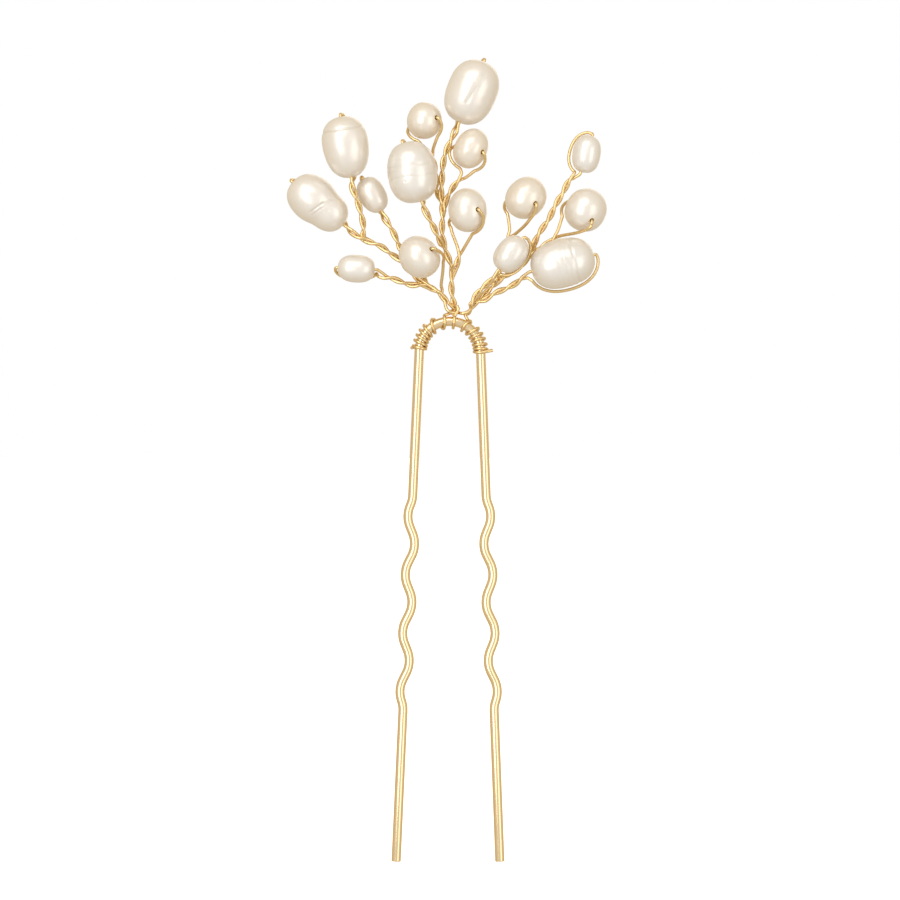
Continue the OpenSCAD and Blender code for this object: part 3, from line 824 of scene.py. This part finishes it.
class HAIRPIN_OT_stems(bpy.types.Operator):
    """Thread fine wire through each pearl and twist it into the sprigs"""

    bl_idname = "hairpin.stems"
    bl_label = "Twist the stems"

    def execute(self, context):
        wire = context.scene.hairpin_wire
        stems = {name: Stem(name, wire) for name in STEMS}
        for name, stem in stems.items():
            trunk = stems[name.split("_")[0] + "_1"]
            piece = f"stem_{name}_wire"
            mesh = wire_mesh(context, piece, [stem.wires(trunk)], stem.wire_radius)
            finish_piece(context, piece, mesh, fine_gold(context), "root",
                         "stem_" + name)
        return {"FINISHED"}


# ---- The pearls ----


LUMPS = ((0.05, 2.6), (0.014, 0.9))  # height and spread of the skin's unevenness
SUNK_ALL = 0.02  # so that the lumps stand out less past the sizes in BODIES
CREASE_SHADE_MOST = 0.6  # most of the painted crease shade, taken by a crease at least as deep as the next value
CREASE_SHADE_DEPTH = 0.12
NARROW_RING, NARROW_PIT = 0.5, 0.2  # wider ones take no painted shade
EDGE_FADE = 3  # how quickly a crease deepens inwards from the outline
HALO, HALO_WIDTH = 0.6, 0.12  # how much of the painted gold reflection shows round a hole
MOUTH_STEPS = ((0.05, 1.12), (0.2, 1))  # depth, and radius as a share of the hole's
BIG = 3  # half length past which a pearl gets the finer mesh


def segment_distance(x, z, start, end):
    """How far the point is from a segment in the shown plane"""
    p, a, b = Vector((x, z)), Vector(start), Vector(end)
    t = min(max((p - a).dot(b - a) / (b - a).length_squared, 0), 1)
    return (p - a.lerp(b, t)).length


def bell(distance, width):
    return math.exp(-((distance / width) ** 2))


def crease_shade_share(depth):
    """How much painted shade a crease of this depth takes"""
    return CREASE_SHADE_MOST * min(depth / CREASE_SHADE_DEPTH, 1)


class PearlShape:
    """The skin of one pearl, in millimetres from its centre"""

    def __init__(self, name, index):
        joint = JOINTS[name + "_turn"]
        self.name = name
        self.centre = Vector(joint["pos_m"]) / MM
        self.bore = Vector(joint["axis"]).normalized()
        axis, length, width, depth, self.power, self.taper, self.warmth, self.grain = BODIES[name]
        self.axis = self.bore if axis is None else Vector(axis).normalized()
        self.front = across(VIEWER, self.axis)
        self.side = self.axis.cross(self.front)
        self.half = [length / 2, width / 2, (depth or width) / 2]
        self.seed = Vector((17.0 * index, 5.0, 3.0))
        if depth is None:
            self.half[2] = self.depth_for(STEMS[name][1] / 2)

    def depth_for(self, reach):
        """The half depth at which the hole's mouths are this far from the centre"""
        u, w, v = (abs(self.bore.dot(way)) * reach for way in (self.axis, self.side, self.front))
        left = (1 - (u / self.half[0]) ** self.power) ** (2 / self.power)
        return v / math.sqrt(left - (w / self.half[1]) ** 2)

    def skin(self, way):
        """The point on the skin in a direction, and how much painted shade its creases give it"""
        u, w, v = way.dot(self.axis), way.dot(self.side), way.dot(self.front)
        a, b, c = self.half
        reach = (abs(u / a) ** self.power
                 # The share of painted shade gathered from narrow grooves, creases and small pits
                 + ((w / b) ** 2 + (v / c) ** 2) ** (self.power / 2)) ** (-1 / self.power)
        along = reach * u
        out = reach * (way - u * self.axis) * (1 + self.taper * along / a)
        crease_shade = 0
        sunk = 0
        for distance, depth, wide in RINGS.get(self.name, ()):
            hit = bell(along - distance, wide)
            sunk += depth * hit
            crease_shade = max(crease_shade, hit * crease_shade_share(depth) * (wide < NARROW_RING))
        x, z = reach * way.x, reach * way.z
        if v > 0:
            for start, end, depth, wide in CREASES.get(self.name, ()):
                hit = bell(segment_distance(x, z, start, end), wide) * min(v * EDGE_FADE, 1)
                sunk += depth * hit
                crease_shade = max(crease_shade, hit * crease_shade_share(depth))
            for (px, pz), wide, depth in PITS.get(self.name, ()):
                hit = bell(math.hypot(x - px, z - pz), wide)
                sunk += depth * hit
                crease_shade = max(crease_shade, hit * crease_shade_share(depth) * (wide < NARROW_PIT))
        point = along * self.axis + out
        lumps = sum(high * noise.noise(point / wide + self.seed) for high, wide in LUMPS)
        return point + (lumps - SUNK_ALL - sunk) * way, crease_shade

    def mesh(self, hole, mouth):
        """A closed skin with a hole drilled right through it. Both sizes are radii."""
        rings, columns = (96, 120) if self.half[0] > BIG else (72, 90)
        turn = Vector((0, 0, 1)).rotation_difference(self.bore).to_matrix().to_4x4()
        bm = bmesh.new()
        bmesh.ops.create_uvsphere(bm, u_segments=columns, v_segments=rings, radius=1)
        marks = {key: bm.verts.layers.float.new(key)
                 for key in ("warmth", "grain", "crease_shade", "hole_gold_reflection")}
        poles = [v for v in bm.verts if abs(v.co.z) > 1 - 1e-6]
        bmesh.ops.delete(bm, geom=poles, context="VERTS")
        reach = STEMS[self.name][1] / 2
        first, edge = math.pi / rings, math.asin(mouth / reach)
        for v in bm.verts:
            polar = math.acos(max(-1, min(1, v.co.z)))
            polar = edge + (polar - first) * (math.pi - 2 * edge) / (math.pi - 2 * first)
            flat = Vector((v.co.x, v.co.y, 0)).normalized() * math.sin(polar)
            way = turn @ Vector((flat.x, flat.y, math.cos(polar)))
            v.co, crease_shade = self.skin(way)
            # How much painted crease shade the nacre takes here
            v[marks["crease_shade"]] = crease_shade
            from_bore = (v.co - v.co.dot(self.bore) * self.bore).length
            # Painted reflection of the gold wire: a halo round each mouth, fading away from the
            # hole.
            v[marks["hole_gold_reflection"]] = HALO * bell(max(0, from_bore - mouth), HALO_WIDTH)
        inner = []
        for end in (1, -1):
            rim = [e for e in bm.edges
                   if e.is_boundary and e.verts[0].co.dot(self.bore) * end > 0]
            for sink, share in MOUTH_STEPS:
                made = bmesh.ops.extrude_edge_only(bm, edges=rim)["geom"]
                rim = [g for g in made if isinstance(g, bmesh.types.BMEdge)]
                for v in {v for e in rim for v in e.verts}:
                    along = v.co.dot(self.bore)
                    out = (v.co - along * self.bore).normalized()
                    v.co = (along - end * sink) * self.bore + out * hole * share
                    # The hole walls take the painted gold reflection in full.
                    v[marks["hole_gold_reflection"]] = 1
            inner += rim
        bmesh.ops.bridge_loops(bm, edges=inner)
        for v in bm.verts:
            v[marks["warmth"]] = self.warmth
            v[marks["grain"]] = self.grain
        bmesh.ops.recalc_face_normals(bm, faces=bm.faces)
        bmesh.ops.translate(bm, vec=self.centre, verts=bm.verts)
        mesh = bpy.data.meshes.new(f"pearl_{self.name}_nacre")
        bm.to_mesh(mesh)
        bm.free()
        return mesh


class HAIRPIN_OT_pearls(bpy.types.Operator):
    """Shape and drill the fifteen pearls"""

    bl_idname = "hairpin.pearls"
    bl_label = "Shape the pearls"

    def execute(self, context):
        settings = context.scene.hairpin_pearl
        material = nacre(settings)
        for index, name in enumerate(BODIES):
            shape = PearlShape(name, index)
            mesh = shape.mesh(settings.hole / MM / 2, settings.mouth / MM / 2)
            node = "pearl_" + name
            finish_piece(context, node + "_nacre", mesh, material, node, node)
        return {"FINISHED"}


# ---- The stage ----


def softbox(context, name, azimuth, elevation, distance, size, power):
    """A soft light that looks at the sprigs. Azimuth is from the viewer to the right."""
    light = bpy.data.lights.new(name, "AREA")
    light.shape = "RECTANGLE"
    light.size, light.size_y = size
    light.energy = power
    lamp = bpy.data.objects.new(name, light)
    context.scene.collection.objects.link(lamp)
    a, e = math.radians(azimuth), math.radians(elevation)
    way = Vector((math.sin(a) * math.cos(e), -math.cos(a) * math.cos(e), math.sin(e)))
    lamp.location = way * distance
    lamp.rotation_euler = way.to_track_quat("Z", "Y").to_euler()


class HAIRPIN_OT_stage(bpy.types.Operator):
    """Set the floor, the soft studio light and the camera"""

    bl_idname = "hairpin.stage"
    bl_label = "Set the stage"

    def execute(self, context):
        scene, stage = context.scene, context.scene.hairpin_stage
        scene.view_settings.view_transform = "Standard"

        bm = bmesh.new()
        bmesh.ops.create_circle(
            bm, cap_ends=True, segments=64, radius=40,
            matrix=Matrix.Translation((0, 0, pin_low.z - 0.0002)),
        )
        mesh = bpy.data.meshes.new("floor")
        bm.to_mesh(mesh)
        bm.free()
        paint = bpy.data.materials.new("Matt white floor")
        paint.use_nodes = True
        shader = paint.node_tree.nodes["Principled BSDF"]
        shader.inputs["Base Color"].default_value = linear("#F6F5F3")
        shader.inputs["Roughness"].default_value = 0.9
        shader.inputs["Emission Color"].default_value = linear("#FFFFFF")
        shader.inputs["Emission Strength"].default_value = 0.85
        mesh.materials.append(paint)
        floor = bpy.data.objects.new("floor", mesh)
        scene.collection.objects.link(floor)
        floor.visible_diffuse = False
        floor.visible_glossy = False
        floor.visible_shadow = False

        # A white room: seen directly it is plain white, and as light it is
        # brighter above than below, and warmer behind than in front.
        world = bpy.data.worlds.new("White room")
        scene.world = world
        world.use_nodes = True
        tree = world.node_tree
        tree.nodes.clear()
        way = add_node(tree, "ShaderNodeSeparateXYZ", {
            0: add_node(tree, "ShaderNodeTexCoord").outputs["Generated"]})
        rise = add_node(tree, "ShaderNodeMapRange", {
            "Value": way.outputs["Z"], "From Min": -0.8, "From Max": 0.8,
            "To Min": 0.95, "To Max": 1.0}, interpolation_type="SMOOTHSTEP")
        behind = add_node(tree, "ShaderNodeMapRange", {
            "Value": way.outputs["Y"], "From Min": -0.9, "From Max": 0.2},
            interpolation_type="SMOOTHSTEP")
        tint = add_node(tree, "ShaderNodeMix", {
            "Factor": behind.outputs[0], "A": linear("#E9E8E6"), "B": linear("#DBCDB4")},
            data_type="RGBA")
        room = add_node(tree, "ShaderNodeBackground", {
            "Color": tint.outputs["Result"], "Strength": rise.outputs[0]})
        seen = add_node(tree, "ShaderNodeBackground", {"Color": (1, 1, 1, 1), "Strength": 1.0})
        path = add_node(tree, "ShaderNodeLightPath")
        both = add_node(tree, "ShaderNodeMixShader", {
            0: path.outputs["Is Camera Ray"], 1: room.outputs[0], 2: seen.outputs[0]})
        add_node(tree, "ShaderNodeOutputWorld", {"Surface": both.outputs[0]})

        softbox(context, "key softbox", -18, 42, 0.9, (0.7, 0.42), 1.8)
        softbox(context, "side softbox", -27, 5, 1.0, (0.45, 0.7), 2.5)
        softbox(context, "fill softbox", 42, -4, 1.0, (0.5, 0.8), 1.3)
        softbox(context, "back softbox", 165, 15, 1.0, (0.6, 0.95), 1.1)

        lens = bpy.data.cameras.new("camera")
        lens.sensor_width = 36
        lens.lens = 36 * stage.distance / stage.field
        camera = bpy.data.objects.new("camera", lens)
        camera.location = (0, -stage.distance, stage.height)
        camera.rotation_euler = (math.pi / 2, 0, 0)
        scene.collection.objects.link(camera)
        scene.camera = camera
        return {"FINISHED"}


# ---- The add-on ----


class HAIRPIN_PT_panel(bpy.types.Panel):
    """Steps that build the hair pin"""

    bl_idname = "HAIRPIN_PT_panel"
    bl_label = "Hair pin"
    bl_space_type = "VIEW_3D"
    bl_region_type = "UI"
    bl_category = "Hair pin"

    def draw(self, context):
        for operator in OPERATORS:
            self.layout.operator(operator.bl_idname)
        for _, attribute in SETTINGS:
            group = getattr(context.scene, attribute)
            box = self.layout.box()
            for name in group.bl_rna.properties.keys():
                if name not in ("rna_type", "name"):
                    box.prop(group, name)


SETTINGS = (
    (PinSettings, "hairpin_pin"),
    (WireSettings, "hairpin_wire"),
    (PearlSettings, "hairpin_pearl"),
    (StageSettings, "hairpin_stage"),
)
OPERATORS = (
    HAIRPIN_OT_pin,
    HAIRPIN_OT_wraps,
    HAIRPIN_OT_stems,
    HAIRPIN_OT_pearls,
    HAIRPIN_OT_stage,
)


def register():
    for group, attribute in SETTINGS:
        bpy.utils.register_class(group)
        setattr(bpy.types.Scene, attribute, bpy.props.PointerProperty(type=group))
    for operator in OPERATORS:
        bpy.utils.register_class(operator)
    bpy.utils.register_class(HAIRPIN_PT_panel)


def unregister():
    bpy.utils.unregister_class(HAIRPIN_PT_panel)
    for operator in reversed(OPERATORS):
        bpy.utils.unregister_class(operator)
    for group, attribute in reversed(SETTINGS):
        delattr(bpy.types.Scene, attribute)
        bpy.utils.unregister_class(group)


def main():
    register()
    bpy.ops.hairpin.pin()
    bpy.ops.hairpin.wraps()
    bpy.ops.hairpin.stems()
    bpy.ops.hairpin.pearls()
    bpy.ops.hairpin.stage()


if __name__ == "__main__":
    main()
